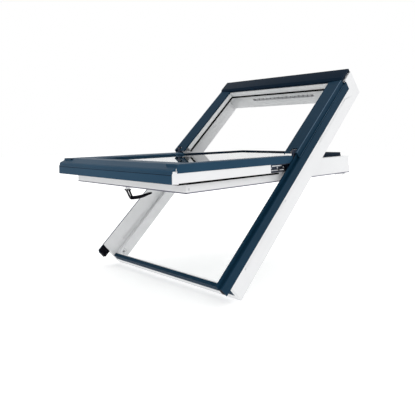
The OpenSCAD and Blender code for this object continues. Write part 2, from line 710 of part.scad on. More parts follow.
module cleaning_bolt() color(zinc) swung() {
  block([bolt_x + 4, bolt_y - bolt_w / 2, bolt_z - bolt_t / 2], [sash_out - 4, bolt_y + bolt_w / 2, bolt_z + bolt_t / 2]);
  translate([bolt_x + 11, bolt_y, bolt_z - 9.5]) cylinder(r = 2.4, h = 8);
}

jamb_left();
jamb_right();
sill_profile();
head_profile();
jamb_steels();
jamb_end_plugs();
lower_stop_left();
lower_stop_right();
upper_stop_left();
upper_stop_right();
upper_seal();
side_cover_left();
side_cover_right();
side_cover_end_caps();
upper_cover_left();
upper_cover_right();
head_cover();
head_cover_end_caps();
sill_cover();
vent_housing();
vent_grille();
vent_shutter();
frame_hinge_left();
frame_hinge_right();
frame_hinge_screws();
lock_keepers();
sash_stile_left();
sash_stile_right();
sash_bottom_rail();
sash_top_rail();
sash_list_left();
sash_list_right();
sash_apron_list();
sash_seal();
flange_seal();
outer_pane();
inner_pane();
pane_spacer();
setting_blocks();
bottom_rail_cover();
bottom_cover_end_caps();
sash_cover_left();
sash_cover_right();
cover_corner_clips();
glazing_cover_left();
glazing_cover_right();
top_rail_cover();
sash_hinge_left();
sash_hinge_right();
sash_hinge_screws();
handle_base();
handle_screws();
handle_lever();
lock_rod_left();
lock_rod_right();
bolt_housing();
cleaning_bolt();
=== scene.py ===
"""Finishes a centre-pivot roof window on its CAD frame.

The window stands at the pitch of its roof with the sash swung open. Every new piece is drawn in millimetres
in the plane of the roof or of the closed sash (X across, Y up the slope, Z outwards) and is then set into
the row frame in metres, so it lands on the CAD piece it dresses or replaces.
"""

import json
import logging
import math
from dataclasses import dataclass, field
from enum import Enum

import bmesh
import bpy
from mathutils import Matrix, Vector

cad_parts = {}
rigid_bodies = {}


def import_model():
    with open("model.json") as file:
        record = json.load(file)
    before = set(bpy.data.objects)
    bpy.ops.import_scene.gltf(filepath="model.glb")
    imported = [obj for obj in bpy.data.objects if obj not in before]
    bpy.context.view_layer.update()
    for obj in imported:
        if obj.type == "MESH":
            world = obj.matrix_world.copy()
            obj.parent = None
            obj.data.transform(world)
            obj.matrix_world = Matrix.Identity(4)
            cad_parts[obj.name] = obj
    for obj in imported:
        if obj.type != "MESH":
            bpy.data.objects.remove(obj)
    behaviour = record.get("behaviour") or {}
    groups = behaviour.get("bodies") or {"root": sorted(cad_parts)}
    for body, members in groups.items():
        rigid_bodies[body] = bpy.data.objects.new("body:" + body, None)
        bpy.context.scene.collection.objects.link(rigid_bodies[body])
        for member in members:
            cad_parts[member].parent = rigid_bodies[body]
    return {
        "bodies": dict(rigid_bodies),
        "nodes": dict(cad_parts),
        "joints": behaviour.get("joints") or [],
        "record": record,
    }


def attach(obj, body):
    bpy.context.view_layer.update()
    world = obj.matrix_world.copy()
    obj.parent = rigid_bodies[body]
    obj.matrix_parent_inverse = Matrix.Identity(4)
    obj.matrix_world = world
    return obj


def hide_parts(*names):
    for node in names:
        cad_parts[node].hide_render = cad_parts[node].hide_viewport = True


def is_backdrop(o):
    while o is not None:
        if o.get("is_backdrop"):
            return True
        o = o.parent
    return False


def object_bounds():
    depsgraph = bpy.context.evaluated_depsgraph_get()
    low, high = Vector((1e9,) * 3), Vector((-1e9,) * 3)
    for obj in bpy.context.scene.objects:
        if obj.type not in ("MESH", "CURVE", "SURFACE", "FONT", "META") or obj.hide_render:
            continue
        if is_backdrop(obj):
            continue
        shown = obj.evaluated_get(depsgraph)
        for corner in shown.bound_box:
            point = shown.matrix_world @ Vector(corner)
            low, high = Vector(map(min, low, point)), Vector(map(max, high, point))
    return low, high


LOG = logging.getLogger("roof_window")
MM = 0.001
SHARP_ANGLE = 25.0
WELD_DISTANCE = 0.00001
NOISE_LOW, NOISE_HIGH = 0.3, 0.7
RAMP_LOW, RAMP_HIGH = 0.35, 0.65
LEVER_TILT = -160.0
PROFILE_EDGE, COVER_EDGE, PLATE_EDGE, SMALL_EDGE, FINE_EDGE = 0.6, 0.4, 0.4, 0.3, 0.2
FLOOR_HALF = 14.0
UPRIGHT, ALONG_SLOPE = Vector((0, 0, 1)), Vector((0, 1, 0))

Point = tuple[float, float, float]
Colour = tuple[float, float, float]
Section = tuple[tuple[float, float], ...]


class Body(Enum):
    """The groups of the window that new pieces ride on."""

    FRAME = "frame"
    SASH = "sash"
    HANDLE = "handle"


class Along(Enum):
    """The two ways a bar can run."""

    SLOPE = "up the slope"
    ACROSS = "across the window"


@dataclass(frozen=True)
class Placing:
    """Where the roof plane and the closed sash lie in the row frame, in millimetres and degrees.

    Args:
        pitch: the roof's slope.
        swing: how far the sash is open.
        origin_z: Z of the row frame's origin in the roof plane.
        pivot_y: Y of the pivot.
        pivot_z: Z of the pivot.
    """

    pitch: float = 43.0
    swing: float = 41.8
    origin_z: float = -104.5
    pivot_y: float = 626.0
    pivot_z: float = 20.5

    def roof(self) -> Matrix:
        """Returns the matrix from the roof plane in millimetres to the row frame in metres."""
        turn = Matrix.Rotation(math.radians(self.pitch), 4, "X")
        return Matrix.Scale(MM, 4) @ turn @ Matrix.Translation((0, 0, -self.origin_z))

    def sash(self) -> Matrix:
        """Places the closed sash's plane in its open pose.

        Returns:
            The matrix from the closed sash in millimetres to the row frame in metres.
        """
        pivot = Vector((0, self.pivot_y, self.pivot_z))
        turn = Matrix.Rotation(math.radians(-self.swing), 4, "X")
        return self.roof() @ Matrix.Translation(pivot) @ turn @ Matrix.Translation(-pivot)


# ---- Finishes ----


@dataclass
class NodeTree:
    """A short way to lay shader nodes and join them.

    Args:
        material: the material whose tree is filled.
    """

    material: bpy.types.Material

    def __post_init__(self) -> None:
        """Clears the tree and lays its shader, its output and its Object coordinates."""
        self.material.use_nodes = True
        self.tree = self.material.node_tree
        self.tree.nodes.clear()
        self.output = self.add("ShaderNodeOutputMaterial")
        self.shader = self.add("ShaderNodeBsdfPrincipled")
        self.join(self.shader, "BSDF", self.output, "Surface")
        self.place = self.add("ShaderNodeTexCoord")

    def add(self, kind: str, **values: object) -> bpy.types.Node:
        """Lays one node.

        Args:
            kind: Blender's name of the node's type.
            values: properties and input values, by name with _ for a space.

        Returns:
            The node.
        """
        node = self.tree.nodes.new(kind)
        for name, value in values.items():
            socket = name.replace("_", " ")
            if hasattr(node, name):
                setattr(node, name, value)
            else:
                node.inputs[socket].default_value = value
        return node

    def join(self, a: bpy.types.Node, out: str, b: bpy.types.Node, into: str) -> None:
        """Joins one node's output to another's input, by their names."""
        self.tree.links.new(a.outputs[out], b.inputs[into])

    def noise(self, scale: float, detail: float = 2.0, stretch: Point = (1, 1, 1)) -> bpy.types.Node:
        """Lays a noise on Object coordinates.

        Args:
            scale: grains per metre.
            detail: how many octaves the noise has.
            stretch: factors on X, Y and Z, to draw the grain out.

        Returns:
            The noise node.
        """
        mapping = self.add("ShaderNodeMapping", Scale=stretch)
        self.join(self.place, "Object", mapping, "Vector")
        node = self.add("ShaderNodeTexNoise", Scale=scale, Detail=detail)
        self.join(mapping, "Vector", node, "Vector")
        return node

    def spread(self, source: bpy.types.Node, out: str, low: float, high: float, into: str) -> None:
        """Feeds a shader input with a noise, spread between two values.

        Args:
            source: the noise.
            out: its output.
            low: the value where the noise is low.
            high: the value where it is high.
            into: the shader's input.
        """
        span = self.add("ShaderNodeMapRange", From_Min=NOISE_LOW, From_Max=NOISE_HIGH, To_Min=low, To_Max=high)
        self.join(source, out, span, "Value")
        self.join(span, "Result", self.shader, into)

    def tint(self, source: bpy.types.Node, dark: Colour, light: Colour) -> None:
        """Feeds the base colour with a noise that drifts between two colours.

        Args:
            source: the noise.
            dark: the colour where the noise is low.
            light: the colour where it is high.
        """
        ramp = self.add("ShaderNodeValToRGB")
        low, high = ramp.color_ramp.elements
        low.position, high.position = RAMP_LOW, RAMP_HIGH
        low.color, high.color = (*dark, 1), (*light, 1)
        self.join(source, "Fac", ramp, "Fac")
        self.join(ramp, "Color", self.shader, "Base Color")

    def bump(self, source: bpy.types.Node, depth: float, strength: float) -> None:
        """Feeds the shader's normal with a relief.

        Args:
            source: the noise that the relief follows.
            depth: the relief's depth in metres.
            strength: how strongly it shows.
        """
        relief = self.add("ShaderNodeBump", Distance=depth, Strength=strength)
        self.join(source, "Fac", relief, "Height")
        self.join(relief, "Normal", self.shader, "Normal")


@dataclass(frozen=True)
class Finish:
    """A surface finish: colour and roughness that drift a little, and a fine relief.

    Args:
        name: the material's name.
        dark: its darker colour.
        light: its lighter colour.
        rough: lowest and highest roughness.
        metallic: how metallic it is.
        specular: how strongly it reflects.
        drift_scale: patches of colour per metre.
        grain_scale: grains per metre.
        grain_depth: the grain's depth in metres.
        grain_strength: how strongly the grain shows.
        stretch: factors on X, Y and Z that draw the grain out.
        glow: how much light it gives off.
    """

    name: str
    dark: Colour
    light: Colour
    rough: tuple[float, float] = (0.4, 0.5)
    metallic: float = 0.0
    specular: float = 0.5
    drift_scale: float = 4.0
    grain_scale: float = 900.0
    grain_depth: float = 0.0001
    grain_strength: float = 0.15
    stretch: Point = (1, 1, 1)
    glow: float = 0.0

    def make(self) -> bpy.types.Material:
        """Returns the finish's material, made on first use."""
        found = bpy.data.materials.get(self.name)
        if found:
            return found
        nodes = NodeTree(bpy.data.materials.new(self.name))
        shader = nodes.shader
        shader.inputs["Emission Color"].default_value = (1, 1, 1, 1)
        shader.inputs["Emission Strength"].default_value = self.glow
        shader.inputs["Metallic"].default_value = self.metallic
        shader.inputs["Specular IOR Level"].default_value = self.specular
        drift = nodes.noise(self.drift_scale, 3.0)
        grain = nodes.noise(self.grain_scale, 2.0, self.stretch)
        nodes.tint(drift, self.dark, self.light)
        nodes.spread(grain, "Fac", *self.rough, "Roughness")
        nodes.bump(grain, self.grain_depth, self.grain_strength)
        return nodes.material


@dataclass(frozen=True)
class GlassFinish:
    """Clear float glass with a faint green body.

    Args:
        name: the material's name.
        colour: its colour.
        ior: its index of refraction.
    """

    name: str
    colour: Colour = (0.93, 0.97, 0.955)
    ior: float = 1.5

    def make(self) -> bpy.types.Material:
        """Returns the glass's material, made on first use."""
        found = bpy.data.materials.get(self.name)
        if found:
            return found
        nodes = NodeTree(bpy.data.materials.new(self.name))
        shader = nodes.shader
        shader.inputs["Transmission Weight"].default_value = 1.0
        shader.inputs["IOR"].default_value = self.ior
        drift = nodes.noise(1.5, 1.0)
        nodes.tint(drift, self.colour, tuple(min(1.0, c + 0.01) for c in self.colour))
        nodes.spread(nodes.noise(3.0, 2.0), "Fac", 0.0, 0.012, "Roughness")
        return nodes.material


PVC = Finish("white_pvc", (0.745, 0.75, 0.76), (0.77, 0.775, 0.785), (0.30, 0.38), grain_scale=600,
             grain_depth=0.00005)
COVER = Finish("slate_blue_cover", (0.011, 0.044, 0.083), (0.014, 0.051, 0.093), (0.42, 0.52), specular=0.08,
               grain_scale=1400, grain_depth=0.00006, grain_strength=0.2)
# A darker copy of the slate cover paint: painted shade on the frame's side, upper and sill covers.
SHADED_FRAME_COVER = Finish("frame_slate_cover_painted_shade", (0.004, 0.025, 0.049), (0.006, 0.029, 0.056), (0.44, 0.54),
                     specular=0.06, grain_scale=1400, grain_depth=0.00006, grain_strength=0.2)
# A lighter copy of the cover paint: painted highlight on the covers' rolled edges.
PAINTED_HIGHLIGHT_COVER = Finish("cover_edge_painted_highlight", (0.045, 0.090, 0.145), (0.060, 0.110, 0.170), (0.35, 0.45), specular=0.2,
                    grain_scale=1400, grain_depth=0.00006, grain_strength=0.2)
# A much darker copy of the slate cover paint: painted shade on the head cover, its end caps, the glazing and top rail
# covers and the front groove's line.
DEEP_SHADE_COVER = Finish("slate_cover_deep_painted_shade", (0.0012, 0.0090, 0.021), (0.0020, 0.0110, 0.025), (0.45, 0.55),
                    specular=0.05, grain_scale=1400, grain_depth=0.00006, grain_strength=0.2)
# Hinge steel coloured dark and bluish, much darker than the bare zinc plate.
GUNMETAL = Finish("dark_hinge_steel", (0.012, 0.018, 0.032), (0.028, 0.036, 0.056), (0.25, 0.42), metallic=0.85,
                  drift_scale=30, grain_scale=900, stretch=(1, 8, 1), grain_depth=0.00005, grain_strength=0.3)
ZINC = Finish("zinc_plate", (0.55, 0.56, 0.57), (0.66, 0.67, 0.68), (0.25, 0.4), metallic=1.0, drift_scale=60)
RUBBER = Finish("black_rubber", (0.004, 0.004, 0.004), (0.007, 0.007, 0.007), (0.6, 0.75), specular=0.02,
                grain_scale=2000)
GREY_RUBBER = Finish("soft_grey_rubber", (0.10, 0.10, 0.15), (0.13, 0.13, 0.18), (0.5, 0.65), specular=0.35,
                     grain_scale=2000)
BLACK_PLASTIC = Finish("matt_black_plastic", (0.004, 0.004, 0.007), (0.006, 0.006, 0.010), (0.42, 0.52),
                       specular=0.03, grain_scale=2200, grain_strength=0.35)
GREY_PLASTIC = Finish("matt_grey_plastic", (0.47, 0.475, 0.49), (0.52, 0.525, 0.54), (0.4, 0.5), grain_scale=1500)
SPACER = Finish("dark_spacer", (0.03, 0.032, 0.035), (0.045, 0.047, 0.05), (0.35, 0.5), metallic=0.6,
                grain_scale=1500)
VENT_WHITE = Finish("vent_white", (0.48, 0.485, 0.50), (0.52, 0.525, 0.54), (0.35, 0.45), grain_scale=800)
FLOOR = Finish("pale_floor", (0.90, 0.90, 0.90), (0.92, 0.92, 0.92), (0.85, 0.95), specular=0.1, drift_scale=1.0,
               grain_scale=200, glow=0.34)
GLASS = GlassFinish("float_glass")


# ---- Making pieces ----


@dataclass
class Bench:
    """Where pieces are made, set into the row frame and put on their bodies.

    Args:
        frame: what the frame's loader returned.
        placing: where the two planes lie.
    """

    frame: dict
    placing: Placing = field(default_factory=Placing)

    def dress(self, nodes: tuple[str, ...], finish: Finish | GlassFinish, edge: float = 0.4,
              steps: int = 2) -> None:
        """Gives CAD nodes their finish and softens their edges.

        Args:
            nodes: names of the CAD nodes.
            finish: the finish they get.
            edge: width of the softened edge in millimetres, 0 for none.
            steps: segments across the softened edge.
        """
        for name in nodes:
            piece = self.frame["nodes"][name]
            piece.data.materials.clear()
            piece.data.materials.append(finish.make())
            if edge:
                weld = piece.modifiers.new("weld", "WELD")
                weld.merge_threshold = WELD_DISTANCE
                bevel = piece.modifiers.new("soft_edges", "BEVEL")
                bevel.width, bevel.segments, bevel.profile = edge * MM, steps, 0.5
                bevel.limit_method, bevel.angle_limit = "ANGLE", math.radians(SHARP_ANGLE)
                bevel.use_clamp_overlap = True
                bevel.harden_normals = False
            LOG.info("dressed %s with %s", name, finish.name)

    def place(self, name: str, mesh: bmesh.types.BMesh, body: Body, finish: Finish | GlassFinish, slot: str,
              stands_for: tuple[str, ...] = (), smooth: float = 40.0) -> None:
        """Sets a piece drawn in millimetres into the row frame and puts it on its body.

        Args:
            name: the piece's name.
            mesh: its mesh, in the roof plane for the frame and in the closed sash's plane for the rest.
            body: the body it rides on.
            finish: its finish.
            slot: the record's material slot; not used.
            stands_for: CAD nodes that it replaces.
            smooth: edges flatter than this angle, in degrees, are shaded smooth.
        """
        plane = self.placing.roof() if body is Body.FRAME else self.placing.sash()
        bmesh.ops.transform(mesh, matrix=plane, verts=mesh.verts)
        bmesh.ops.recalc_face_normals(mesh, faces=mesh.faces)
        for face in mesh.faces:
            face.smooth = True
        for edge in mesh.edges:
            edge.smooth = len(edge.link_faces) == 2 and edge.calc_face_angle(0.0) < math.radians(smooth)
        data = bpy.data.meshes.new(name)
        mesh.to_mesh(data)
        mesh.free()
        data.materials.append(finish.make())
        piece = bpy.data.objects.new(name, data)
        bpy.context.scene.collection.objects.link(piece)
        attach(piece, body.value)
        if stands_for:
            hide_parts(*stands_for)
        LOG.info("placed %s on %s", name, body.value)


def turned(profile: Section, centre: Point, axis: Vector, steps: int = 32) -> bmesh.types.BMesh:
    """Turns a profile into a closed round piece, as on a lathe.

    Args:
        profile: points as radius and height along the axis, from one end of the axis to the other.
        centre: the point of the axis at height 0, in millimetres.
        axis: its direction.
        steps: steps round the turn.

    Returns:
        The round piece's mesh.
    """
    mesh = bmesh.new()
    points = [mesh.verts.new((radius, 0, height)) for radius, height in profile]
    for a, b in zip(points, points[1:]):
        mesh.edges.new((a, b))
    bmesh.ops.spin(mesh, geom=mesh.verts[:] + mesh.edges[:], cent=(0, 0, 0), axis=(0, 0, 1),
                   angle=math.tau, steps=steps, use_merge=True)
    bmesh.ops.remove_doubles(mesh, verts=mesh.verts, dist=0.0005)
    turn = UPRIGHT.rotation_difference(axis.normalized()).to_matrix().to_4x4()
    bmesh.ops.transform(mesh, matrix=Matrix.Translation(centre) @ turn, verts=mesh.verts)
    return mesh


def merged(meshes: list[bmesh.types.BMesh]) -> bmesh.types.BMesh:
    """Gathers several meshes into one and frees them.

    Args:
        meshes: the meshes to gather.

    Returns:
        The one mesh.
    """
    whole = bmesh.new()
    for mesh in meshes:
        carrier = bpy.data.meshes.new("carrier")
        mesh.to_mesh(carrier)
        mesh.free()
        whole.from_mesh(carrier)
        bpy.data.meshes.remove(carrier)
    return whole


def mirrored(mesh: bmesh.types.BMesh) -> bmesh.types.BMesh:
    """Copies a mesh to the other side of the window.

    Args:
        mesh: the mesh, which stays as it is.

    Returns:
        The mirrored copy.
    """
    twin = mesh.copy()
    bmesh.ops.scale(twin, vec=(-1, 1, 1), verts=twin.verts)
    bmesh.ops.reverse_faces(twin, faces=twin.faces)
    return twin


def lofted(stations: tuple[tuple[Point, float, float, float], ...], sides: int = 16) -> bmesh.types.BMesh:
    """A closed bar through a row of oval sections that lie across X.

    Args:
        stations: each section's centre, half width along X, half depth and tilt about X in degrees.
        sides: corners of each section.

    Returns:
        The bar's mesh.
    """
    mesh = bmesh.new()
    ring = bmesh.ops.create_circle(mesh, cap_ends=True, segments=sides, radius=1)["verts"]
    previous = Matrix.Identity(4)
    edges = list({edge for vert in ring for edge in vert.link_edges})
    for index, (centre, half_x, half_d, tilt) in enumerate(stations):
        turn = Matrix.Rotation(math.radians(tilt), 4, "X")
        place = Matrix.Translation(centre) @ turn @ Matrix.Diagonal((half_x, half_d, 1, 1))
        if index:
            made = bmesh.ops.extrude_edge_only(mesh, edges=edges)["geom"]
            ring = verts_of(made)
            edges = [part for part in made
                     if isinstance(part, bmesh.types.BMEdge) and all(vert in ring for vert in part.verts)]
        bmesh.ops.transform(mesh, matrix=place @ previous.inverted(), verts=ring)
        previous = place
    bmesh.ops.contextual_create(mesh, geom=edges)
    bmesh.ops.recalc_face_normals(mesh, faces=mesh.faces)
    return mesh


def verts_of(parts: list) -> list[bmesh.types.BMVert]:
    """Returns the vertices among an operator's parts."""
    return [part for part in parts if isinstance(part, bmesh.types.BMVert)]


def run(section: Section, start: float, end: float, along: Along, rounding: float = 0.0) -> bmesh.types.BMesh:
    """A bar with one section along its whole length.

    Args:
        section: the section's corners: X and Z for a bar up the slope, Y and Z for a bar across.
        start: where the bar begins.
        end: where it ends.
        along: which way it runs.
        rounding: rounding of the section's corners.

    Returns:
        The bar's mesh.
    """
    mesh = bmesh.new()
    upward = along is Along.SLOPE
    corners = [mesh.verts.new((a, start, z) if upward else (start, a, z)) for a, z in section]
    mesh.faces.new(corners)
    if rounding:
        bmesh.ops.bevel(mesh, geom=corners, offset=rounding, segments=3, profile=0.5, affect="VERTICES",
                        material=-1)
    made = bmesh.ops.extrude_face_region(mesh, geom=mesh.faces[:])["geom"]
    shift = (0, end - start, 0) if upward else (end - start, 0, 0)
    bmesh.ops.translate(mesh, vec=shift, verts=verts_of(made))
    bmesh.ops.recalc_face_normals(mesh, faces=mesh.faces)
    return mesh


def screw_head(centre: Point, axis: Vector, radius: float, height: float) -> bmesh.types.BMesh:
    """A domed screw head with a round socket.

    Args:
        centre: the middle of the head's underside.
        axis: the way the head faces.
        radius: the head's radius.
        height: the head's height.

    Returns:
        The head's mesh.
    """
    shape = ((0, 0), (1, 0), (1, 0.45), (0.86, 0.8), (0.55, 1), (0.45, 1), (0.42, 0.45), (0, 0.4))
    return turned(tuple((radius * r, height * h) for r, h in shape), centre, axis, 24)


# ---- Sub-assemblies of the fixed frame ----


@dataclass
class FrameProfiles:
    """The fixed frame's white profiles, their reinforcement and the seal of the upper half.

    Args:
        bench: where pieces are made.
        seal_in: X of the upper stop's inner edge.
        seal_start: Y where the upper seal begins.
        head_stop: Y of the head stop's edge.
        under: Z of the stop's underside.
        low: Z of the seal's free lip.
    """

    bench: Bench
    seal_in: float = 317.0
    seal_start: float = 647.0
    head_stop: float = 1084.0
    under: float = -10.0
    low: float = -17.4

    def build(self) -> None:
        """Dresses the profiles and lays the upper seal."""
        self.bench.dress(("jamb_left", "jamb_right", "sill_profile", "head_profile", "lower_stop_left",
                          "lower_stop_right", "upper_stop_left", "upper_stop_right"), PVC, PROFILE_EDGE)
        self.bench.dress(("jamb_end_plugs",), PVC, SMALL_EDGE)
        self.bench.dress(("jamb_steels",), ZINC, 0.0)
        self.seal()

    def lip(self, edge: float, way: int) -> Section:
        """The seal's section beside one edge of the stop.

        Args:
            edge: coordinate of the stop's edge.
            way: 1 where the stop lies at higher coordinates.

        Returns:
            The section's corners.
        """
        under, low = self.under, self.low
        return ((edge - 2 * way, under + 4), (edge, under + 4), (edge, under), (edge + 9 * way, under),
                (edge + 9 * way, under - 1.6), (edge + 6.6 * way, under - 2.6), (edge + 5.0 * way, low + 1.4),
                (edge + 2.8 * way, low), (edge + 0.6 * way, low + 0.3), (edge - 1.2 * way, low + 2.2),
                (edge - 2 * way, under + 1))

    def seal(self) -> None:
        """Lays the lipped seal round the upper stops."""
        right = run(self.lip(self.seal_in, 1), self.seal_start, self.head_stop, Along.SLOPE)
        across = run(self.lip(self.head_stop, 1), -self.seal_in, self.seal_in, Along.ACROSS)
        whole = merged([right, mirrored(right), across])
        self.bench.place("upper_lip_seal", whole, Body.FRAME, RUBBER, "rubber", ("upper_seal",))


@dataclass
class FrameCovers:
    """The coloured metal covers of the fixed frame.

    Args:
        bench: where pieces are made.
        outer: X of the upper covers' outer face.
        top: Z of their top at that face.
        start: Y where they begin.
        end: Y where they end.
    """

    bench: Bench
    outer: float = 383.0
    top: float = 29.0
    start: float = 611.0
    end: float = 1091.0

    def build(self) -> None:
        """Dresses the covers and their end caps."""
        # The frame's covers take the darker painted shade copy of the cover paint.
        self.bench.dress(("side_cover_left", "side_cover_right", "upper_cover_left", "upper_cover_right",
                          "sill_cover"), SHADED_FRAME_COVER, 0.35)
        # The head cover and its end caps take the deep painted shade copy of the cover paint.
        self.bench.dress(("head_cover",), DEEP_SHADE_COVER, 0.5)
        self.bench.dress(("head_cover_end_caps",), DEEP_SHADE_COVER, SMALL_EDGE)
        self.bench.dress(("side_cover_end_caps",), BLACK_PLASTIC, 5.0, 5)
        self.edge_lines()

    def edge_lines(self) -> None:
        """Lays the rolled edges where the upper and side covers meet, in a lighter copy of the cover paint that is a
        painted highlight.
        """
        x, z = self.outer, self.top
        roll = run(((x - 2.6, z - 0.3), (x - 2.2, z + 0.25), (x - 0.6, z + 0.35), (x + 0.1, z - 0.2),
                    (x + 0.1, z - 1.4), (x - 1, z - 1)), self.start, self.end, Along.SLOPE)
        foot = run(((x + 0.2, -0.2), (x + 0.2, 2.0), (x + 1.6, 2.4), (x + 3.2, 1.2), (x + 3.8, -0.2)),
                   self.start, self.end, Along.SLOPE)
        whole = merged([roll, mirrored(roll), foot, mirrored(foot)])
        # The rolled edges carry the painted highlight copy of the cover paint.
        self.bench.place("upper_cover_rolled_edges", whole, Body.FRAME, PAINTED_HIGHLIGHT_COVER, "cover")


@dataclass
class AirInlet:
    """The air inlet in the frame's head, with its grille and sliding shutter.

    Args:
        bench: where pieces are made.
        edge: softening of the housing's and the shutter's edges, in millimetres.
        bar_edge: softening of the grille's bars.
    """

    bench: Bench
    edge: float = 0.25
    bar_edge: float = 0.15

    def build(self) -> None:
        """Dresses the housing, grille and shutter."""
        self.bench.dress(("vent_housing", "vent_shutter"), VENT_WHITE, self.edge)
        self.bench.dress(("vent_grille",), GREY_PLASTIC, self.bar_edge)


@dataclass
class Hinges:
    """The pair of clamped pivot hinges.

    Args:
        bench: where pieces are made.
        pivot_y: Y of the pivot.
        jamb: X of the jamb's inner face.
        arm: X of the sash arm's inner face.
        base_top: Z of the frame plate's top.
    """

    bench: Bench
    pivot_y: float = 626.0
    jamb: float = 371.0
    arm: float = 348.0
    base_top: float = -28.0

    def build(self) -> None:
        """Dresses the plates and puts their screws and clamp parts in place."""
        self.bench.dress(("frame_hinge_left", "frame_hinge_right", "sash_hinge_left", "sash_hinge_right"),
                         GUNMETAL, PLATE_EDGE)
        self.frame_screws()
        self.sash_screws()
        self.clamps()

    def clamps(self) -> None:
        """Puts the clamp's springs and link plate in each hinge case on the sash."""
        x, z = self.arm + 9.2, -49.6
        coils = tuple((3.3 if i % 2 else 2.2, 1.5 * i) for i in range(1, 30))
        spring = turned(((0, 0), (2.2, 0), *coils, (2.2, 45.0), (0, 45.0)), (x, self.pivot_y - 158, z),
                        ALONG_SLOPE, 20)
        short = turned(((0, 0), (2.0, 0), *coils[:18], (0, 28.0)), (x, self.pivot_y - 102, z), ALONG_SLOPE, 20)
        low, high = self.arm + 5.2, self.arm + 7.4
        plate = run(((low, -34.5), (low, -28.5), (high, -28.5), (high, -34.5)),
                    self.pivot_y - 146, self.pivot_y - 84, Along.SLOPE, 0.4)
        right = merged([spring, short, plate])
        self.bench.place("hinge_clamp_springs", merged([right, mirrored(right)]), Body.SASH, ZINC, "zinc")

    def frame_screws(self) -> None:
        """Puts three countersunk screws in each plate on the frame."""
        heads = [screw_head((self.jamb - 2.3, y, self.base_top - 13), Vector((-1, 0, 0)), 4.0, 1.7)
                 for y in (self.pivot_y - 60, self.pivot_y - 30, self.pivot_y)]
        right = merged(heads)
        self.bench.place("frame_hinge_screw_heads", merged([right, mirrored(right)]), Body.FRAME, ZINC, "zinc",
                         ("frame_hinge_screws",))

    def sash_screws(self) -> None:
        """Puts three domed screws in each arm on the sash."""
        heads = [screw_head((self.arm + 5, y, -40), Vector((1, 0, 0)), 4.0, 2.0)
                 for y in (self.pivot_y - 150, self.pivot_y - 110, self.pivot_y - 70)]
        right = merged(heads)
        self.bench.place("sash_hinge_screw_heads", merged([right, mirrored(right)]), Body.SASH, ZINC, "zinc",
                         ("sash_hinge_screws",))


# ---- Sub-assemblies of the sash ----


@dataclass
class SashProfiles:
    """The sash's white profiles and its seals.

    Args:
        bench: where pieces are made.
        inner: X of the list's root.
        outer: X of the list's edge.
        under: Z of the list's underside.
        low: Y of the apron list's lower edge.
        high: Y where the side lists end.
    """

    bench: Bench
    inner: float = 354.0
    outer: float = 366.5
    under: float = -61.0
    low: float = -20.0
    high: float = 506.0

    def build(self) -> None:
        """Dresses the profiles and lays the sash seal."""
        self.bench.dress(("sash_stile_left", "sash_stile_right", "sash_bottom_rail", "sash_top_rail"), PVC,
                         PROFILE_EDGE)
        self.bench.dress(("sash_list_left", "sash_list_right", "sash_apron_list"), PVC, 0.5)
        self.seal()
        self.flange_lip()

    def seal(self) -> None:
        """Lays the bulbed seal under the list that closes on the frame."""
        x, edge, lip, z = self.inner, self.outer, self.outer + 1.9, self.under
        sides = run(((x, z), (x, z - 1.6), (x + 2, z - 2.4), (x + 4, z - 4.3), (x + 8, z - 4.5), (edge, z - 3.8),
                     (lip, z - 2.6), (lip, z + 3.2), (edge + 1.5, z + 3.2), (edge + 1.5, z)),
                    20.0, self.high, Along.SLOPE)
        low_sides = run(((x, z), (x, z - 1.6), (x + 4, z - 3.2), (edge, z - 3.3), (lip, z - 2.2), (lip, z + 3.2),
                         (edge + 1.5, z + 3.2), (edge + 1.5, z)), self.low, 20.0, Along.SLOPE)
        y = self.low
        across = run(((y, z), (y, z + 3.2), (y - 0.4, z + 3.2), (y - 0.4, z - 2.0), (y + 1.5, z - 3.3),
                      (y + 26, z - 3.4), (y + 39.5, z - 1.6), (y + 39.5, z)), -x, x, Along.ACROSS)
        whole = merged([sides, mirrored(sides), low_sides, mirrored(low_sides), across])
        self.bench.place("sash_bulb_seal", whole, Body.SASH, RUBBER, "rubber", ("sash_seal",))

    def flange_lip(self) -> None:
        """Lays the soft lip round the flange's lower edge."""
        side = run(((343.0, -95.0), (343.0, -97.2), (348.3, -97.2), (348.3, -93.6), (347.9, -93.6), (347.9, -95.0)),
                   27.2, 1095.0, Along.SLOPE)
        front = run(((32.5, -95.0), (32.5, -97.2), (27.2, -97.2), (27.2, -93.6), (27.6, -93.6), (27.6, -95.0)),
                    -348.3, 348.3, Along.ACROSS)
        rear = run(((1088.0, -95.0), (1088.0, -97.2), (1095.0, -97.2), (1095.0, -95.0)), -343.0, 343.0, Along.ACROSS)
        whole = merged([side, mirrored(side), front, rear])
        self.bench.place("flange_lip_seal", whole, Body.SASH, GREY_RUBBER, "grey_rubber",
                         ("flange_seal",))


@dataclass
class Glazing:
    """The sealed glass unit of the sash.

    Args:
        bench: where pieces are made.
        spacer_edge: softening of the spacer's edges, in millimetres.
    """

    bench: Bench
    spacer_edge: float = 0.3

    def build(self) -> None:
        """Dresses the panes, their spacer and their blocks."""
        self.bench.dress(("outer_pane", "inner_pane"), GLASS, 0.0)
        self.bench.dress(("pane_spacer",), SPACER, self.spacer_edge)
        self.bench.dress(("setting_blocks",), RUBBER, 0.0)


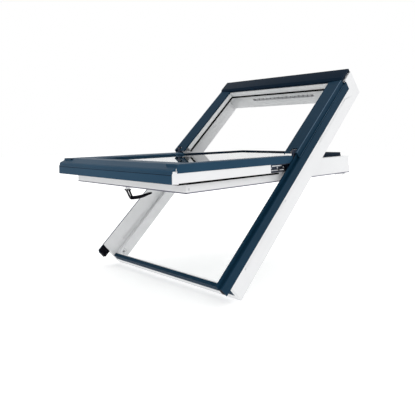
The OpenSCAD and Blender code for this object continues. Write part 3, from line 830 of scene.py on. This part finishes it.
@dataclass
class SashCovers:
    """The sash's coloured covers over its rails and glass edges.

    Args:
        bench: where pieces are made.
        seam: X where a side cover's end meets the bottom rail's cover.
        edge: X of the side covers' outer face.
        end: Y of the side covers' lower ends.
        front: Y of the bottom cover's front face.
        groove: Z of the pressed groove along that face.
    """

    bench: Bench
    seam: float = 313.2
    edge: float = 368.0
    end: float = -25.5
    # groove: Z of the pressed groove along that face, which a dark strip of painted shade marks.
    front: float = -50.0
    groove: float = -29.5

    def build(self) -> None:
        """Dresses the covers, closes their ends and lays a dark line of painted shade for the groove along the front.
        """
        self.bench.dress(("bottom_rail_cover", "sash_cover_left", "sash_cover_right"), COVER, COVER_EDGE)
        # The glazing and top rail covers take the deep painted shade copy of the cover paint.
        self.bench.dress(("glazing_cover_left", "glazing_cover_right", "top_rail_cover"), DEEP_SHADE_COVER,
                         SMALL_EDGE)
        self.bench.dress(("bottom_cover_end_caps",), PVC, COVER_EDGE)
        self.bench.dress(("cover_corner_clips",), GREY_PLASTIC, 0.1)
        self.folds()
        self.groove_line()

    def folds(self) -> None:
        """Folds each side cover's lower end down onto the bottom cover."""
        fold = run(((self.seam, -6.0), (self.seam, 2.4), (345.0, 3.8), (366.0, 3.2), (self.edge, 1.6),
                    (self.edge, -6.0)), self.end, self.end + 1.2, Along.SLOPE)
        self.bench.place("side_cover_end_folds", merged([fold, mirrored(fold)]), Body.SASH, COVER, "cover")

    def groove_line(self) -> None:
        """Lays a thin dark strip on the front face: painted shade where a groove is pressed along it."""
        y, z = self.front, self.groove
        line = run(((y - 0.03, z - 1.1), (y - 0.03, z + 1.1), (y + 0.6, z + 1.4), (y + 0.6, z - 1.4)),
                   -self.edge, self.edge, Along.ACROSS)
        # The strip carries the deep painted shade copy of the cover paint.
        self.bench.place("front_groove_painted_shade", line, Body.SASH, DEEP_SHADE_COVER, "dark_cover")


@dataclass
class HandleAndLock:
    """The handle under the sash, the two lock rods it drives and the cleaning bolt.

    Args:
        bench: where pieces are made.
        spindle_y: Y of the handle's spindle.
        under: Z of the sash's underside.
        base_half: half the distance between the base's screws.
        base_r: radius of the base's ends.
        elbow_y: Y of the lever's elbow.
        elbow_z: Z of the lever's elbow.
        grip: length of the grip.
    """

    bench: Bench
    spindle_y: float = 41.5
    under: float = -95.0
    base_half: float = 24.0
    base_r: float = 7.5
    elbow_y: float = 57.5
    elbow_z: float = -142.5
    grip: float = 95.0

    def build(self) -> None:
        """Makes the handle and dresses the lock."""
        self.base()
        self.screws()
        self.lever()
        self.bench.dress(("lock_rod_left", "lock_rod_right", "lock_keepers"), ZINC, FINE_EDGE)
        self.bench.dress(("bolt_housing",), PVC, PROFILE_EDGE)
        self.bench.dress(("cleaning_bolt",), ZINC, SMALL_EDGE)

    def base(self) -> None:
        """Makes the long oval base that the lever turns on."""
        mesh = bmesh.new()
        bmesh.ops.create_circle(mesh, cap_ends=True, segments=32, radius=self.base_r)
        for vert in mesh.verts:
            vert.co.x += math.copysign(self.base_half, vert.co.x) if abs(vert.co.x) > 0.01 else 0.0
        bmesh.ops.translate(mesh, vec=(0, self.spindle_y, self.under - 4), verts=mesh.verts)
        rim = mesh.edges[:]
        made = bmesh.ops.extrude_face_region(mesh, geom=mesh.faces[:])["geom"]
        bmesh.ops.translate(mesh, vec=(0, 0, 4), verts=verts_of(made))
        bmesh.ops.bevel(mesh, geom=[edge for edge in rim if edge.is_valid], offset=1.0, segments=3, profile=0.5,
                        affect="EDGES", material=-1)
        self.bench.place("handle_oval_base", mesh, Body.SASH, PVC, "pvc", ("handle_base",))

    def screws(self) -> None:
        """Puts the base's two screw heads in place."""
        heads = [screw_head((x, self.spindle_y, self.under - 4), Vector((0, 0, -1)), 4.0, 1.6)
                 for x in (-self.base_half, self.base_half)]
        self.bench.place("handle_screw_heads", merged(heads), Body.SASH, ZINC, "zinc", ("handle_screws",))

    def lever(self) -> None:
        """Makes the lever: a pale collar, and a dark hub with a forked neck and a bowed grip."""
        centre = (0, self.spindle_y, self.under)
        spindle = turned(((0, -13), (8.4, -13), (9, -12.4), (9, -4.8), (8.4, -4.2), (4, -4.2), (4, 9), (6, 9),
                          (6, 15), (0, 15)), centre, UPRIGHT, 48)
        self.bench.place("handle_collar", spindle, Body.HANDLE, PVC, "pvc", ("handle_lever",))
        hub = turned(((0, -17), (11.6, -17), (12.7, -16.4), (13, -15.4), (13, -13.6), (12.4, -12.8), (0, -12.8)),
                     centre, UPRIGHT, 48)
        whole = merged([hub, *self.fork(), self.bow()])
        self.bench.place("handle_forked_lever", whole, Body.HANDLE, BLACK_PLASTIC, "black_plastic", ("handle_lever",))

    def fork(self) -> list[bmesh.types.BMesh]:
        """Makes the neck's two prongs.

        Returns:
            The prongs' meshes.
        """
        top = Vector((0, self.spindle_y, self.under - 15))
        elbow = Vector((0, self.elbow_y, self.elbow_z))
        sizes = ((0.0, 4, 1.2), (0.05, 6.6, 2.4), (0.4, 6.2, 2.2), (0.8, 6.4, 2.3), (0.98, 5.8, 2.0), (1.04, 3, 1.0))
        prongs = []
        for y in (-6.4, 5.4):
            a, b = top + Vector((0, y, 0)), elbow + Vector((0, y * 0.72, y * 0.25))
            prongs.append(lofted(tuple((tuple(a.lerp(b, f)), half_x, half_y, LEVER_TILT)
                                       for f, half_x, half_y in sizes), 24))
        return prongs

    def bow(self) -> bmesh.types.BMesh:
        """Makes the bowed grip.

        Returns:
            The grip's mesh.
        """
        elbow = Vector((0, self.elbow_y, self.elbow_z))
        bend = elbow + Vector((0, self.grip * 0.36, -1))
        tip = elbow + Vector((0, self.grip, 9))
        stations = ((elbow, -7.0, 0.5, 2.2, 1.6, -90), (elbow, -6.0, 0.3, 5.0, 4.2, -90),
                    (elbow, -2, -0.3, 7.0, 6.4, -88), (elbow, 8, -0.6, 7.4, 7.0, -88),
                    (bend, -8, 0, 7.3, 7.0, -88), (bend, 4, 0.6, 7.2, 6.9, -82),
                    (bend, 24, 3.2, 6.8, 6.3, -80), (tip, -14, -1.8, 6.0, 5.2, -80),
                    (tip, -1, -0.2, 5.2, 4.4, -80), (tip, 3.4, 0.4, 3.4, 3.0, -80),
                    (tip, 5.0, 0.7, 1.0, 0.9, -80))
        return lofted(tuple(((0, at.y + y, at.z + z), half_x, half_d, tilt)
                            for at, y, z, half_x, half_d, tilt in stations), 32)


# ---- The studio ----


@dataclass
class Studio:
    """A pale floor, soft lights and the camera.

    Args:
        low: lowest Z of the window, in metres.
        eye: the camera's place, in metres.
        heading: the camera's turn about Z, in degrees.
        lens: focal length on a 36 mm wide sensor.
        shift: the camera's vertical shift.
        slide: the camera's horizontal shift.
        aim: the point that the lamps face, in metres.
        lamps: each lamp's name, place, side in metres and power in watts.
    """

    low: float
    eye: Point = (1.5157, -1.2732, 0.5664)
    heading: float = 45.61
    lens: float = 41.33
    shift: float = -0.1627
    slide: float = 0.0036
    aim: Point = (0, 0.3, 0.4)
    lamps: tuple[tuple[str, Point, float, float], ...] = (("key", (-2.4, -2.6, 3.4), 2.0, 5.0),
                                                          ("inner", (2.2, -1.2, 0.9), 1.4, 1.5),
                                                          ("back", (-0.6, 3.2, 3.0), 2.6, 6.0))

    def build(self) -> None:
        """Makes the floor, the sky, the lights and the camera."""
        self.floor()
        self.sky()
        for lamp in self.lamps:
            self.lamp(*lamp)
        self.camera()

    def floor(self) -> None:
        """Makes the pale floor under the window."""
        mesh = bmesh.new()
        bmesh.ops.create_grid(mesh, x_segments=4, y_segments=4, size=FLOOR_HALF)
        bmesh.ops.translate(mesh, vec=(0, 0, self.low), verts=mesh.verts)
        data = bpy.data.meshes.new("floor")
        mesh.to_mesh(data)
        mesh.free()
        data.materials.append(FLOOR.make())
        floor = bpy.data.objects.new("floor", data)
        bpy.context.scene.collection.objects.link(floor)
        floor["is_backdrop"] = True

    def sky(self) -> None:
        """Lights the studio evenly with a white sky."""
        world = bpy.data.worlds.new("studio")
        world.use_nodes = True
        sky = world.node_tree.nodes["Background"]
        sky.inputs["Color"].default_value = (1, 1, 1, 1)
        sky.inputs["Strength"].default_value = 1.0
        bpy.context.scene.world = world
        bpy.context.scene.view_settings.view_transform = "Standard"

    def lamp(self, name: str, place: Point, size: float, power: float) -> None:
        """Hangs a square soft light that faces the window.

        Args:
            name: the light's name.
            place: where it hangs.
            size: its side in metres.
            power: its power in watts.
        """
        light = bpy.data.lights.new(name, "AREA")
        light.size, light.energy = size, power
        lamp = bpy.data.objects.new(name, light)
        lamp.location = place
        lamp.rotation_euler = (Vector(self.aim) - Vector(place)).to_track_quat("-Z", "Y").to_euler()
        bpy.context.scene.collection.objects.link(lamp)

    def camera(self) -> None:
        """Sets up the level camera."""
        lens = bpy.data.cameras.new("camera")
        lens.lens, lens.sensor_width = self.lens, 36.0
        lens.shift_x, lens.shift_y = self.slide, self.shift
        camera = bpy.data.objects.new("camera", lens)
        camera.location = self.eye
        camera.rotation_euler = (math.radians(90), 0, math.radians(self.heading))
        bpy.context.scene.collection.objects.link(camera)
        bpy.context.scene.camera = camera


def main() -> None:
    """Builds the window and its studio."""
    logging.basicConfig(level=logging.INFO, format="%(name)s: %(message)s")
    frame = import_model()
    cad_low, cad_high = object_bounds()
    bench = Bench(frame)
    for part in (FrameProfiles, FrameCovers, AirInlet, Hinges, SashProfiles, Glazing, SashCovers, HandleAndLock):
        part(bench).build()
        LOG.info("built %s", part.__name__)
    Studio(low=float(cad_low[2]) - 0.001).build()


if __name__ == "__main__":
    main()
